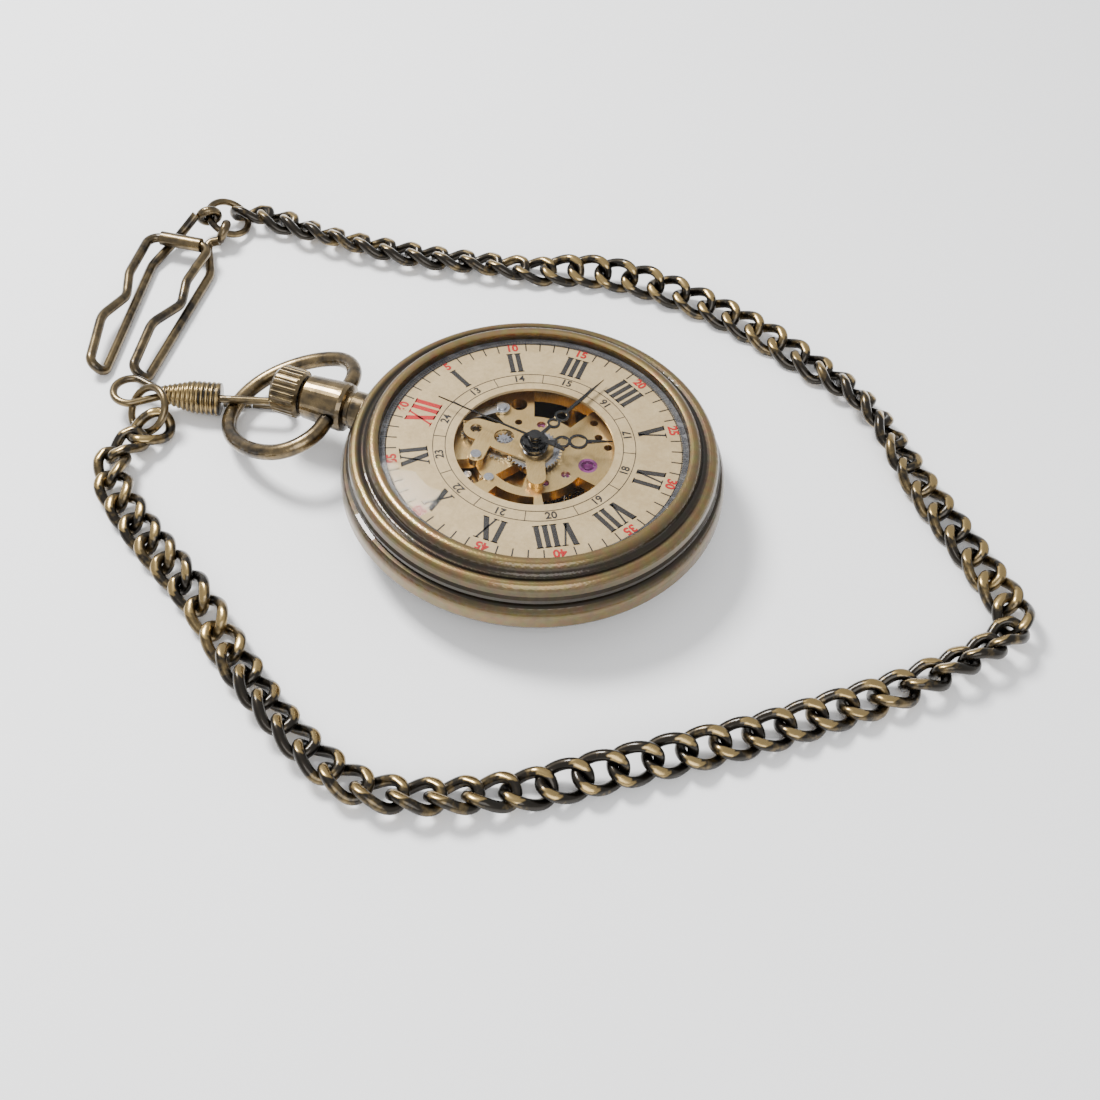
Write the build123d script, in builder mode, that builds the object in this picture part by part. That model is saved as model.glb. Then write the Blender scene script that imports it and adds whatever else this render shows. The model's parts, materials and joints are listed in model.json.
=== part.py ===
from build123d import *
import math
import os

# Open-face pocket watch with its chain, clasp and trouser clip.
# Millimetres. The watch lies on its back: +Z out of the dial, +Y to twelve
# o'clock and the crown, +X to three o'clock, origin under the centre of the
# case back, on the surface it rests on.

os.makedirs("parts", exist_ok=True)

# ---------------------------------------------------------------- dimensions
# case
CASE_R = 23.1            # widest radius, at the back rim
BACK_TOP = 5.0           # seam between back and band
BAND_TOP = 9.0           # seam between band and bezel
CASE_BORE = 19.0         # bore that holds the movement
DIAL_Z = 10.2            # dial face
DIAL_T = 0.4
DIAL_R = 18.9
DIAL_OPENING_R = 9.56
CRYSTAL_R = 18.35
CRYSTAL_EDGE_Z = 11.35
CRYSTAL_APEX_Z = 13.6
CRYSTAL_T = 1.0

# movement
PLATE_R = 18.2
PLATE_Z = 7.0            # underside of the main plate
PLATE_TOP = 8.6
BRIDGE_Z = 3.1           # underside of the bridges
BRIDGE_T = 1.0
BARREL_BRIDGE_T = 1.15
COCK_Z = 2.15            # underside of the balance cock
COCK_T = 0.6
SCREW_HEAD = 0.25
STEM_Z = 7.1             # height of stem, crown and pendant axis
PIVOT_R = 0.2

# gear train: tooth counts and centre distances
SECONDS_TEETH, SECONDS_PINION = 80, 8
THIRD_TEETH, THIRD_PINION = 60, 8
CENTER_TEETH, CENTER_PINION = 64, 12
BARREL_TEETH = 72
ESCAPE_TEETH, ESCAPE_PINION = 15, 8
CANNON_TEETH, MINUTE_TEETH = 12, 36
MINUTE_PINION, HOUR_TEETH = 10, 40
SETTING_TEETH = 14
RATCHET_TEETH, CROWN_WHEEL_TEETH = 56, 32
THIRD_DIST = 5.0
BARREL_DIST = 8.4
ESCAPE_DIST = 4.84
MOTION_DIST = 4.0
WINDING_MODULE = 0.2
CROWN_WHEEL_Y = 13.2

# pendant, crown and bow
BOW_Y = 26.0             # hinge line of the bow
BOW_WIRE_R = 0.975
BOW_LENGTH = 15.2        # hinge line to the far end of the bow
BOW_HALF_WIDTH = 9.0
BOW_END_Z = 2.02         # height of the bow's far end, lying down
CROWN_R = 3.05
CROWN_START, CROWN_END = 30.3, 34.0
CROWN_FLUTES = 26

# clasp, rings, chain and clip
HOOK_WIRE_R = 0.5
RING_R = 2.9
RING_WIRE_R = 0.49
LINK_WIRE_R = 0.65
LINK_PITCH = 3.9
LINK_WIDTH = 4.9
CHAIN_Z = 1.95
CLIP_WIRE_R = 0.65


# ------------------------------------------------------------------- helpers
def polar(radius, degrees):
    """Plan point at a radius and an angle from three o'clock."""
    a = math.radians(degrees)
    return (radius * math.cos(a), radius * math.sin(a))


def save(part, name):
    """Label one sub-part and write its STEP file."""
    part.label = name
    export_step(part, "parts/" + name + ".step")


def gear_outline(teeth, module, toward=0.0, on_gap=False):
    """Closed outline of a spur gear with a tooth, or a gap, facing `toward`."""
    tip = module * (teeth / 2 + 0.75)
    root = module * (teeth / 2 - 1.0)
    step = 360 / teeth
    start = toward + (step / 2 if on_gap else 0.0)
    points = []
    for i in range(teeth):
        for radius, share in ((root, -0.22), (tip, -0.11), (tip, 0.11), (root, 0.22)):
            points.append(polar(radius, start + (i + share) * step))
    return points


def gear_layer(teeth, module, low, high, toward=0.0, on_gap=False):
    """Extrude a gear about the origin of the active part, between two heights."""
    with BuildSketch(Plane.XY.offset(low)) as gear:
        Polygon(*gear_outline(teeth, module, toward, on_gap), align=None)
    extrude(gear.sketch, amount=high - low)


def disc(radius, low, high, mode=Mode.ADD):
    """Cylinder about the origin of the active part, between two heights."""
    with BuildSketch(Plane.XY.offset(low)) as face:
        Circle(radius)
    extrude(face.sketch, amount=high - low, mode=mode)


def spokes(count, inner, outer, width, low, high):
    """Cut round windows' worth of metal away and leave straight spokes."""
    with BuildSketch(Plane.XY.offset(low)) as gaps:
        Circle(outer)
        Circle(inner, mode=Mode.SUBTRACT)
        with PolarLocations(0, count):
            Rectangle(outer + 1, width, align=(Align.MIN, Align.CENTER), mode=Mode.SUBTRACT)
    extrude(gaps.sketch, amount=high - low, mode=Mode.SUBTRACT)


def bar_between(start, end, width):
    """Round-ended bar between two plan points, in the active sketch."""
    dx, dy = end[0] - start[0], end[1] - start[1]
    middle = ((start[0] + end[0]) / 2, (start[1] + end[1]) / 2)
    with Locations(Location((middle[0], middle[1], 0), (0, 0, math.degrees(math.atan2(dy, dx))))):
        SlotCenterToCenter(math.hypot(dx, dy), width)


def window(r_in, r_out, a_from, a_to):
    """Annular window with square corners, in the active sketch."""
    steps = 12
    outer = [polar(r_out, a_from + (a_to - a_from) * i / steps) for i in range(steps + 1)]
    inner = [polar(r_in, a_to + (a_from - a_to) * i / steps) for i in range(steps + 1)]
    Polygon(*outer, *inner, align=None, mode=Mode.SUBTRACT)


def moved(part, point):
    """The same part with its own origin at a plan point."""
    return Pos(point[0], point[1], 0) * part


# ---------------------------------------------------------------------- case
with BuildPart() as case_back:
    with BuildSketch(Plane.XZ) as back_section:
        with BuildLine():
            Polyline((0, 0), (9.0, 0))
            Spline((9.0, 0), (16.0, 0.9), (20.5, 2.5), (22.4, 3.9), (CASE_R, BACK_TOP))
            Polyline((CASE_R, BACK_TOP), (CASE_BORE, BACK_TOP), (CASE_BORE, 3.3))
            Spline((CASE_BORE, 3.3), (15.0, 1.75), (9.0, 1.2))
            Polyline((9.0, 1.2), (0, 1.2), (0, 0))
        make_face()
    revolve(axis=Axis.Z)

with BuildPart() as case_band:
    with BuildSketch(Plane.XZ):
        with BuildLine():
            Polyline((CASE_BORE, BACK_TOP), (CASE_R, BACK_TOP), (CASE_R, 6.2))
            Spline((CASE_R, 6.2), (22.95, 7.0), (22.6, 7.6))
            Polyline((22.6, 7.6), (22.0, 7.8), (22.3, 8.15), (22.3, 8.65), (22.05, BAND_TOP),
                     (CASE_BORE, BAND_TOP), (CASE_BORE, BACK_TOP))
        make_face()
    revolve(axis=Axis.Z)
    with BuildSketch(Plane.XZ.offset(-17)):
        with Locations((0, STEM_Z)):
            Circle(1.5)
    extrude(amount=-8, mode=Mode.SUBTRACT)

with BuildPart() as bezel:
    with BuildSketch(Plane.XZ):
        with BuildLine():
            Polyline((19.05, BAND_TOP), (22.05, BAND_TOP), (21.95, 9.75))
            Spline((21.95, 9.75), (21.35, 10.4), (20.75, 10.35))
            Spline((20.75, 10.35), (20.3, 10.28), (19.85, 10.75))
            Spline((19.85, 10.75), (19.25, 11.5), (18.55, 11.5))
            Polyline((18.55, 11.5), (18.4, 11.4), (18.4, 10.25), (19.05, 10.25), (19.05, BAND_TOP))
        make_face()
    revolve(axis=Axis.Z)

with BuildPart() as crystal:
    with BuildSketch(Plane.XZ):
        with BuildLine():
            Polyline((17.6, 10.7), (17.6, 10.4), (CRYSTAL_R, 10.4), (CRYSTAL_R, CRYSTAL_EDGE_Z))
            TangentArc((0, CRYSTAL_APEX_Z), (CRYSTAL_R, CRYSTAL_EDGE_Z), tangent=(1, 0))
            Polyline((0, CRYSTAL_APEX_Z), (0, CRYSTAL_APEX_Z - CRYSTAL_T))
            TangentArc((0, CRYSTAL_APEX_Z - CRYSTAL_T), (17.6, 10.7), tangent=(1, 0))
        make_face()
    revolve(axis=Axis.Z)

with BuildPart() as crystal_gasket:
    disc(CRYSTAL_R, DIAL_Z, 10.4)
    disc(17.65, DIAL_Z, 10.4, mode=Mode.SUBTRACT)

with BuildPart() as dial:
    disc(DIAL_R, DIAL_Z - DIAL_T, DIAL_Z)
    disc(DIAL_OPENING_R, DIAL_Z - DIAL_T, DIAL_Z, mode=Mode.SUBTRACT)

with BuildPart() as movement_ring:
    disc(18.92, 6.3, DIAL_Z - DIAL_T)
    disc(PLATE_R + 0.05, 6.3, DIAL_Z - DIAL_T, mode=Mode.SUBTRACT)
    with BuildSketch(Plane.XZ.offset(-17)):
        with Locations((0, STEM_Z)):
            Circle(0.9)
    extrude(amount=-3, mode=Mode.SUBTRACT)

for name, built in (("case_back", case_back), ("case_band", case_band), ("bezel", bezel),
                    ("crystal", crystal), ("crystal_gasket", crystal_gasket), ("dial", dial),
                    ("movement_ring", movement_ring)):
    save(built.part, name)

# ------------------------------------------------- pendant, stem and crown
stem_axis = Axis((0, 0, STEM_Z), (0, 1, 0))

with BuildPart() as pendant:
    with BuildSketch(Plane.YZ):
        with BuildLine():
            Polyline((19.0, STEM_Z + 0.95), (19.0, STEM_Z + 1.5), (21.6, STEM_Z + 1.5),
                     (21.6, STEM_Z + 2.45), (23.5, STEM_Z + 2.45), (23.7, STEM_Z + 2.2),
                     (24.2, STEM_Z + 2.2), (24.4, STEM_Z + 2.95), (24.9, STEM_Z + 3.1),
                     (29.7, STEM_Z + 2.75), (30.05, STEM_Z + 2.5), (30.05, STEM_Z + 0.95), close=True)
        make_face()
    revolve(axis=stem_axis)
    for shell in (case_back, case_band, bezel):
        add(shell.part, mode=Mode.SUBTRACT)
    for side in (-1, 1):
        with BuildSketch(Plane.YZ.offset(side * 1.6)):
            with Locations((BOW_Y, STEM_Z)):
                Circle(0.8)
        extrude(amount=side * 3, mode=Mode.SUBTRACT)

with BuildPart() as winding_stem:
    for radius, low, high in ((0.45, 11.2, 20.0), (0.85, 20.0, CROWN_START + 1.5)):
        with BuildSketch(Plane.XZ.offset(-low)):
            with Locations((0, STEM_Z)):
                Circle(radius)
        extrude(amount=-(high - low))

with BuildPart() as crown:
    with BuildSketch(Plane.XZ.offset(-CROWN_START)):
        with Locations((0, STEM_Z)):
            Circle(CROWN_R)
    extrude(amount=-(CROWN_END - CROWN_START))
    chamfer(crown.edges().filter_by(GeomType.CIRCLE), 0.45)
    with BuildSketch(Plane.XZ.offset(-CROWN_START)):
        with Locations((0, STEM_Z)):
            with PolarLocations(CROWN_R + 0.05, CROWN_FLUTES):
                Circle(0.24)
    extrude(amount=-(CROWN_END - CROWN_START), mode=Mode.SUBTRACT)
    with BuildSketch(Plane.XZ.offset(-CROWN_START)):
        with Locations((0, STEM_Z)):
            Circle(0.85)
    extrude(amount=-1.5, mode=Mode.SUBTRACT)

with BuildPart() as winding_pinion:
    with BuildSketch(Plane.XZ.offset(-14.2)):
        with Locations((0, STEM_Z)):
            Circle(1.3)
            with PolarLocations(1.25, 14):
                Rectangle(0.5, 0.26)
            Circle(0.5, mode=Mode.SUBTRACT)
    extrude(amount=-1.4)

with BuildPart() as sliding_clutch:
    for radius, low, high in ((1.4, 12.6, 13.1), (1.0, 13.1, 13.5), (1.4, 13.5, 14.0)):
        with BuildSketch(Plane.XZ.offset(-low)):
            with Locations((0, STEM_Z)):
                Circle(radius)
                Circle(0.5, mode=Mode.SUBTRACT)
        extrude(amount=-(high - low))

for name, built in (("pendant", pendant), ("winding_stem", winding_stem), ("crown", crown),
                    ("winding_pinion", winding_pinion), ("sliding_clutch", sliding_clutch)):
    save(built.part, name)

# ------------------------------------------------------- places in the train
THIRD_DIR = 10.0
ESCAPE_DIR = -145.0
third_at = polar(THIRD_DIST, THIRD_DIR)
escape_at = polar(ESCAPE_DIST, ESCAPE_DIR)
balance_at = (0.6, -6.6)
ratchet_dist = WINDING_MODULE * (RATCHET_TEETH + CROWN_WHEEL_TEETH) / 2
barrel_y = (BARREL_DIST ** 2 + CROWN_WHEEL_Y ** 2 - ratchet_dist ** 2) / (2 * CROWN_WHEEL_Y)
barrel_at = (-math.sqrt(BARREL_DIST ** 2 - barrel_y ** 2), barrel_y)
BARREL_DIR = math.degrees(math.atan2(barrel_at[1], barrel_at[0]))
crown_wheel_at = (0.0, CROWN_WHEEL_Y)
RATCHET_DIR = math.degrees(math.atan2(CROWN_WHEEL_Y - barrel_at[1], -barrel_at[0]))
MINUTE_DIR = 85.0
minute_at = polar(MOTION_DIST, MINUTE_DIR)
motion_module = 2 * MOTION_DIST / (CANNON_TEETH + MINUTE_TEETH)
setting_dist = motion_module * (MINUTE_TEETH + SETTING_TEETH) / 2
setting_at = (minute_at[0], minute_at[1] + setting_dist)
pallet_share = 2.9 / math.hypot(balance_at[0] - escape_at[0], balance_at[1] - escape_at[1])
pallet_at = (escape_at[0] + pallet_share * (balance_at[0] - escape_at[0]),
             escape_at[1] + pallet_share * (balance_at[1] - escape_at[1]))
PALLET_DIR = math.degrees(math.atan2(balance_at[1] - escape_at[1], balance_at[0] - escape_at[0]))

third_module = 2 * THIRD_DIST / (THIRD_TEETH + SECONDS_PINION)
center_module = 2 * THIRD_DIST / (CENTER_TEETH + THIRD_PINION)
escape_module = 2 * ESCAPE_DIST / (SECONDS_TEETH + ESCAPE_PINION)
barrel_module = 2 * BARREL_DIST / (BARREL_TEETH + CENTER_PINION)
hour_module = 2 * MOTION_DIST / (HOUR_TEETH + MINUTE_PINION)

# plan points of feet and screws
TRAIN_FEET = ((11.5, -1.5), (-11.0, -5.5))
BARREL_FEET = ((-13.2, -1.5), (4.6, 13.6))
COCK_FOOT = (3.2, -13.2)
PALLET_FOOT = (-6.6, -8.2)
MOTION_FEET = ((-3.7, 6.0), (-4.4, -1.9))

# ------------------------------------------------------- plates and bridges
with BuildPart() as main_plate:
    with BuildSketch(Plane.XY.offset(PLATE_Z)):
        Circle(PLATE_R)
        Circle(1.15, mode=Mode.SUBTRACT)
        for r_in, r_out, a_from, a_to in ((6.3, 10.6, -24, 20), (6.3, 9.8, -152, -104),
                                          (6.9, 8.3, 160, 200), (6.2, 9.4, 56, 78),
                                          (2.0, 5.7, 148, 186), (7.2, 9.4, 118, 146)):
            window(r_in, r_out, a_from, a_to)
        with Locations((0, 14.6)):
            Rectangle(4.0, 8.2, mode=Mode.SUBTRACT)
        for x, y, radius in ((7.2, 4.6, 1.0), (4.3, 3.6, 0.45), (-6.9, -4.6, 0.6),
                             (7.6, -5.0, 0.5), (5.5, -6.3, 0.5), (4.3, -7.9, 0.5)):
            with Locations((x, y)):
                Circle(radius, mode=Mode.SUBTRACT)
        for point in (third_at, escape_at, pallet_at, barrel_at):
            with Locations(point):
                Circle(0.55, mode=Mode.SUBTRACT)
        with Locations(balance_at):
            Circle(1.15, mode=Mode.SUBTRACT)
    extrude(amount=PLATE_TOP - PLATE_Z)

with BuildPart() as train_bridge:
    with BuildSketch(Plane.XY.offset(BRIDGE_Z)):
        stops = (TRAIN_FEET[0], third_at, (0, 0), escape_at, TRAIN_FEET[1])
        for start, end in zip(stops, stops[1:]):
            bar_between(start, end, 2.4)
        for point in (third_at, (0, 0), escape_at):
            with Locations(point):
                Circle(0.55, mode=Mode.SUBTRACT)
    extrude(amount=BRIDGE_T)
    with BuildSketch(Plane.XY.offset(BRIDGE_Z + BRIDGE_T)):
        with Locations(*TRAIN_FEET):
            Circle(1.2)
    extrude(amount=PLATE_Z - BRIDGE_Z - BRIDGE_T)

with BuildPart() as barrel_bridge:
    with BuildSketch(Plane.XY.offset(BRIDGE_Z)):
        with Locations(barrel_at):
            Circle(6.2)
        bar_between(barrel_at, BARREL_FEET[0], 3.4)
        bar_between(barrel_at, crown_wheel_at, 5.2)
        bar_between(crown_wheel_at, BARREL_FEET[1], 3.0)
        with Locations(barrel_at):
            Circle(0.75, mode=Mode.SUBTRACT)
        with Locations(crown_wheel_at):
            Circle(1.8, mode=Mode.SUBTRACT)
    extrude(amount=BARREL_BRIDGE_T)
    with BuildSketch(Plane.XY.offset(BRIDGE_Z + BARREL_BRIDGE_T)):
        with Locations(*BARREL_FEET):
            Circle(1.2)
    extrude(amount=PLATE_Z - BRIDGE_Z - BARREL_BRIDGE_T)

with BuildPart() as balance_cock:
    with BuildSketch(Plane.XY.offset(COCK_Z)):
        bar_between(balance_at, COCK_FOOT, 3.0)
        with Locations(balance_at):
            Circle(0.55, mode=Mode.SUBTRACT)
    extrude(amount=COCK_T)
    with BuildSketch(Plane.XY.offset(COCK_Z + COCK_T)):
        with Locations(COCK_FOOT):
            Circle(1.5)
    extrude(amount=PLATE_Z - COCK_Z - COCK_T)

with BuildPart() as pallet_bridge:
    with BuildSketch(Plane.XY.offset(3.95)):
        bar_between(pallet_at, PALLET_FOOT, 1.5)
        with Locations(pallet_at):
            Circle(0.3, mode=Mode.SUBTRACT)
    extrude(amount=0.3)
    with BuildSketch(Plane.XY.offset(4.25)):
        with Locations(PALLET_FOOT):
            Circle(0.75)
    extrude(amount=PLATE_Z - 4.25)

with BuildPart() as motion_work_bridge:
    with BuildSketch(Plane.XY.offset(9.42)):
        bar_between((0, 0), minute_at, 4.6)
        bar_between(minute_at, (minute_at[0], minute_at[1] + 3.4), 3.4)
        bar_between((minute_at[0], minute_at[1] + 2.0), MOTION_FEET[0], 2.0)
        bar_between((0, 0), MOTION_FEET[1], 2.2)
        Circle(1.5, mode=Mode.SUBTRACT)
        with Locations(minute_at):
            Circle(1.2, mode=Mode.SUBTRACT)
        with Locations((minute_at[0], minute_at[1] + 3.6)):
            Circle(0.7, mode=Mode.SUBTRACT)
    extrude(amount=0.3)
    with BuildSketch(Plane.XY.offset(PLATE_TOP)):
        with Locations(*MOTION_FEET):
            Circle(0.85)
    extrude(amount=9.42 - PLATE_TOP)

with BuildPart() as bridge_screws:
    for points, low in ((TRAIN_FEET, BRIDGE_Z), (BARREL_FEET, BRIDGE_Z), ((COCK_FOOT,), COCK_Z)):
        with BuildSketch(Plane.XY.offset(low - SCREW_HEAD)):
            with Locations(*points):
                Circle(0.8)
        extrude(amount=SCREW_HEAD)
    with BuildSketch(Plane.XY.offset(9.72)):
        with Locations(MOTION_FEET[0]):
            Circle(0.65)
    extrude(amount=0.2)
    with BuildSketch(Plane.XY.offset(PLATE_TOP)):
        with Locations((-5.6, 3.6), (10.9, 5.6), (-9.8, -6.0)):
            Circle(0.6)
    extrude(amount=0.2)

with BuildPart() as train_jewels:
    for point in (third_at, escape_at, pallet_at):
        with BuildSketch(Plane.XY.offset(PLATE_Z + 0.6)):
            with Locations(point):
                Circle(0.55)
                Circle(PIVOT_R + 0.03, mode=Mode.SUBTRACT)
        extrude(amount=0.6)
    for point in (third_at, (0, 0), escape_at):
        with BuildSketch(Plane.XY.offset(BRIDGE_Z)):
            with Locations(point):
                Circle(0.55)
                Circle(PIVOT_R + 0.03, mode=Mode.SUBTRACT)
        extrude(amount=0.6)

with BuildPart() as balance_jewel_setting:
    with BuildSketch(Plane.XY.offset(PLATE_Z + 0.4)):
        with Locations(balance_at):
            Circle(1.15)
            Circle(PIVOT_R, mode=Mode.SUBTRACT)
    extrude(amount=0.8)
    with BuildSketch(Plane.XY.offset(PLATE_TOP - 0.4)):
        with Locations(balance_at):
            Circle(1.15)
            Circle(0.8, mode=Mode.SUBTRACT)
    extrude(amount=0.4)
    with BuildSketch(Plane.XY.offset(PLATE_TOP - 0.4)):
        with Locations(balance_at):
            Circle(0.45)
    extrude(amount=0.25)

with BuildPart() as case_screws:
    with BuildSketch(Plane.XY.offset(6.0)):
        with Locations(polar(18.2, 205), polar(18.2, -25)):
            Circle(0.6)
    extrude(amount=0.3)

for name, built in (("main_plate", main_plate), ("train_bridge", train_bridge),
                    ("barrel_bridge", barrel_bridge), ("balance_cock", balance_cock),
                    ("pallet_bridge", pallet_bridge), ("motion_work_bridge", motion_work_bridge),
                    ("bridge_screws", bridge_screws), ("train_jewels", train_jewels),
                    ("balance_jewel_setting", balance_jewel_setting), ("case_screws", case_screws)):
    save(built.part, name)

# ------------------------------------------------------------ going train
with BuildPart() as fourth_wheel:
    gear_layer(SECONDS_TEETH, escape_module, 4.35, 4.55, toward=ESCAPE_DIR)
    spokes(4, 0.9, 3.7, 0.6, 4.35, 4.55)
    gear_layer(SECONDS_PINION, third_module, 5.1, 5.5, toward=THIRD_DIR)
    disc(PIVOT_R, BRIDGE_Z + 0.1, 11.9)
    disc(0.35, 4.2, 5.1)

with BuildPart() as third_wheel:
    gear_layer(THIRD_TEETH, third_module, 5.2, 5.4, toward=THIRD_DIR + 180, on_gap=True)
    spokes(4, 0.9, 3.5, 0.6, 5.2, 5.4)
    gear_layer(THIRD_PINION, center_module, 6.2, 6.7, toward=THIRD_DIR + 180, on_gap=True)
    disc(PIVOT_R, BRIDGE_Z + 0.1, PLATE_Z + 1.1)
    disc(0.3, 4.7, 6.2)

with BuildPart() as center_wheel:
    gear_layer(CENTER_TEETH, center_module, 6.3, 6.6, toward=THIRD_DIR)
    spokes(4, 1.3, 3.6, 0.7, 6.3, 6.6)
    gear_layer(CENTER_PINION, barrel_module, 5.65, 6.3, toward=BARREL_DIR)
    disc(0.55, 6.3, 11.2)
    disc(PIVOT_R + 0.05, 5.65, 11.2, mode=Mode.SUBTRACT)

with BuildPart() as cannon_pinion:
    gear_layer(CANNON_TEETH, motion_module, 8.65, 8.98, toward=MINUTE_DIR)
    disc(0.8, 8.65, 10.9)
    disc(0.55, 8.65, 10.9, mode=Mode.SUBTRACT)

with BuildPart() as minute_wheel:
    gear_layer(MINUTE_TEETH, motion_module, 8.65, 8.95, toward=MINUTE_DIR + 180, on_gap=True)
    spokes(4, 0.9, 2.3, 0.5, 8.65, 8.95)
    gear_layer(MINUTE_PINION, hour_module, 8.95, 9.35, toward=MINUTE_DIR + 180, on_gap=True)
    disc(0.3, 8.65, 9.35, mode=Mode.SUBTRACT)

with BuildPart() as minute_post:
    disc(0.26, PLATE_TOP, 9.5)

with BuildPart() as setting_wheel:
    gear_layer(SETTING_TEETH, motion_module, 8.65, 8.95, toward=-90, on_gap=True)
    disc(0.3, 8.65, 8.95, mode=Mode.SUBTRACT)

with BuildPart() as hour_wheel:
    gear_layer(HOUR_TEETH, hour_module, 9.05, 9.35, toward=MINUTE_DIR)
    disc(1.25, 9.05, 10.75)
    disc(0.85, 9.05, 10.75, mode=Mode.SUBTRACT)

with BuildPart() as escape_wheel:
    with BuildSketch(Plane.XY.offset(4.8)):
        tooth = 360 / ESCAPE_TEETH
        outline = []
        for i in range(ESCAPE_TEETH):
            outline += [polar(1.75, i * tooth), polar(2.3, (i + 0.62) * tooth), polar(2.26, (i + 0.74) * tooth),
                        polar(1.75, (i + 0.5) * tooth)]
        Polygon(*outline, align=None)
    extrude(amount=0.2)
    spokes(4, 0.6, 1.45, 0.35, 4.8, 5.0)
    gear_layer(ESCAPE_PINION, escape_module, 4.25, 4.7, toward=ESCAPE_DIR + 180, on_gap=True)
    disc(0.15, BRIDGE_Z + 0.1, PLATE_Z + 1.1)

with BuildPart() as mainspring_barrel:
    gear_layer(BARREL_TEETH, barrel_module, 5.75, 6.1, toward=BARREL_DIR + 180, on_gap=True)
    disc(6.7, 4.75, 6.1)
    disc(6.3, 5.0, 5.9, mode=Mode.SUBTRACT)
    disc(0.8, 4.75, 6.1, mode=Mode.SUBTRACT)

with BuildPart() as barrel_arbor:
    disc(0.5, PLATE_Z - 0.35, PLATE_Z + 1.0)
    disc(0.7, 2.4, PLATE_Z - 0.35)
    with BuildSketch(Plane.XY.offset(5.05)):
        Circle(1.9)
    extrude(amount=0.8)

with BuildPart() as mainspring:
    for ring_index in range(7):
        radius = 2.3 + 0.56 * ring_index
        with BuildSketch(Plane.XY.offset(5.1)):
            Circle(radius + 0.16)
            Circle(radius - 0.16, mode=Mode.SUBTRACT)
        extrude(amount=0.7)

with BuildPart() as ratchet_wheel:
    gear_layer(RATCHET_TEETH, WINDING_MODULE, 2.45, 2.85, toward=RATCHET_DIR)
    disc(0.7, 2.45, 2.85, mode=Mode.SUBTRACT)

with BuildPart() as ratchet_screw:
    disc(1.3, 2.1, 2.4)

with BuildPart() as crown_wheel:
    gear_layer(CROWN_WHEEL_TEETH, WINDING_MODULE, 2.45, 2.85, toward=RATCHET_DIR + 180, on_gap=True)
    disc(1.7, 2.85, 5.3)
    disc(1.2, 2.85, 5.3, mode=Mode.SUBTRACT)

with BuildPart() as pallet_fork:
    with BuildSketch(Plane.XY.offset(4.8)):
        bar_between((0, 0), (2.05, 0), 0.45)
        bar_between((-0.3, 1.5), (-0.3, -1.5), 0.45)
        Circle(0.5)
        with Locations((2.25, 0.34), (2.25, -0.34)):
            Rectangle(0.55, 0.22)
        with Locations((1.95, 0)):
            Rectangle(0.25, 0.9)
    extrude(amount=0.2)
    disc(0.15, 4.0, PLATE_Z + 1.1)

with BuildPart() as balance_wheel:
    disc(4.2, 3.3, 3.75)
    disc(3.65, 3.3, 3.75, mode=Mode.SUBTRACT)
    with BuildSketch(Plane.XY.offset(3.4)):
        Rectangle(7.5, 0.6)
        Circle(0.7)
    extrude(amount=0.25)
    disc(PIVOT_R - 0.03, 2.0, PLATE_Z + 1.1)
    disc(0.5, 4.35, 4.6)

with BuildPart() as hairspring:
    for ring_index in range(5):
        radius = 0.9 + 0.38 * ring_index
        with BuildSketch(Plane.XY.offset(2.9)):
            Circle(radius + 0.05)
            Circle(radius - 0.05, mode=Mode.SUBTRACT)
        extrude(amount=0.2)

CLICK_PIVOT = (0.6, 3.6)
with BuildPart() as click:
    with BuildSketch(Plane.XY.offset(2.45)):
        Circle(0.8)
        bar_between((0, 0), (-0.15, 1.6), 0.6)
        Circle(0.35, mode=Mode.SUBTRACT)
    extrude(amount=0.35)

with BuildPart() as click_screw:
    with BuildSketch(Plane.XY.offset(2.2)):
        with Locations(CLICK_PIVOT):
            Circle(0.7)
    extrude(amount=0.2)
    with BuildSketch(Plane.XY.offset(2.4)):
        with Locations(CLICK_PIVOT):
            Circle(0.3)
    extrude(amount=BRIDGE_Z - 2.4)

LEVER_PIVOT = (5.6, 6.3)
with BuildPart() as setting_lever:
    with BuildSketch(Plane.XY.offset(PLATE_TOP + 0.05)):
        Circle(1.0)
        bar_between((0, 0), (-3.3, 3.6), 1.3)
        Circle(0.4, mode=Mode.SUBTRACT)
    extrude(amount=0.35)

with BuildPart() as setting_lever_screw:
    with BuildSketch(Plane.XY.offset(PLATE_TOP)):
        with Locations(LEVER_PIVOT):
            Circle(0.35)
    extrude(amount=0.45)
    with BuildSketch(Plane.XY.offset(PLATE_TOP + 0.45)):
        with Locations(LEVER_PIVOT):
            Circle(0.6)
    extrude(amount=0.2)

TRAIN_PARTS = (
    ("fourth_wheel", fourth_wheel, (0, 0)), ("third_wheel", third_wheel, third_at),
    ("center_wheel", center_wheel, (0, 0)), ("cannon_pinion", cannon_pinion, (0, 0)),
    ("minute_wheel", minute_wheel, minute_at), ("setting_wheel", setting_wheel, setting_at),
    ("minute_post", minute_post, minute_at), ("hour_wheel", hour_wheel, (0, 0)),
    ("escape_wheel", escape_wheel, escape_at), ("mainspring_barrel", mainspring_barrel, barrel_at),
    ("barrel_arbor", barrel_arbor, barrel_at), ("mainspring", mainspring, barrel_at),
    ("ratchet_wheel", ratchet_wheel, barrel_at), ("ratchet_screw", ratchet_screw, barrel_at),
    ("crown_wheel", crown_wheel, crown_wheel_at), ("hairspring", hairspring, balance_at),
    ("balance_wheel", balance_wheel, balance_at), ("click", click, CLICK_PIVOT),
    ("click_screw", click_screw, (0, 0)), ("setting_lever", setting_lever, LEVER_PIVOT),
    ("setting_lever_screw", setting_lever_screw, (0, 0)))
for name, built, point in TRAIN_PARTS:
    save(moved(built.part, point), name)
save(moved(Rot(0, 0, PALLET_DIR) * pallet_fork.part, pallet_at), "pallet_fork")

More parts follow.
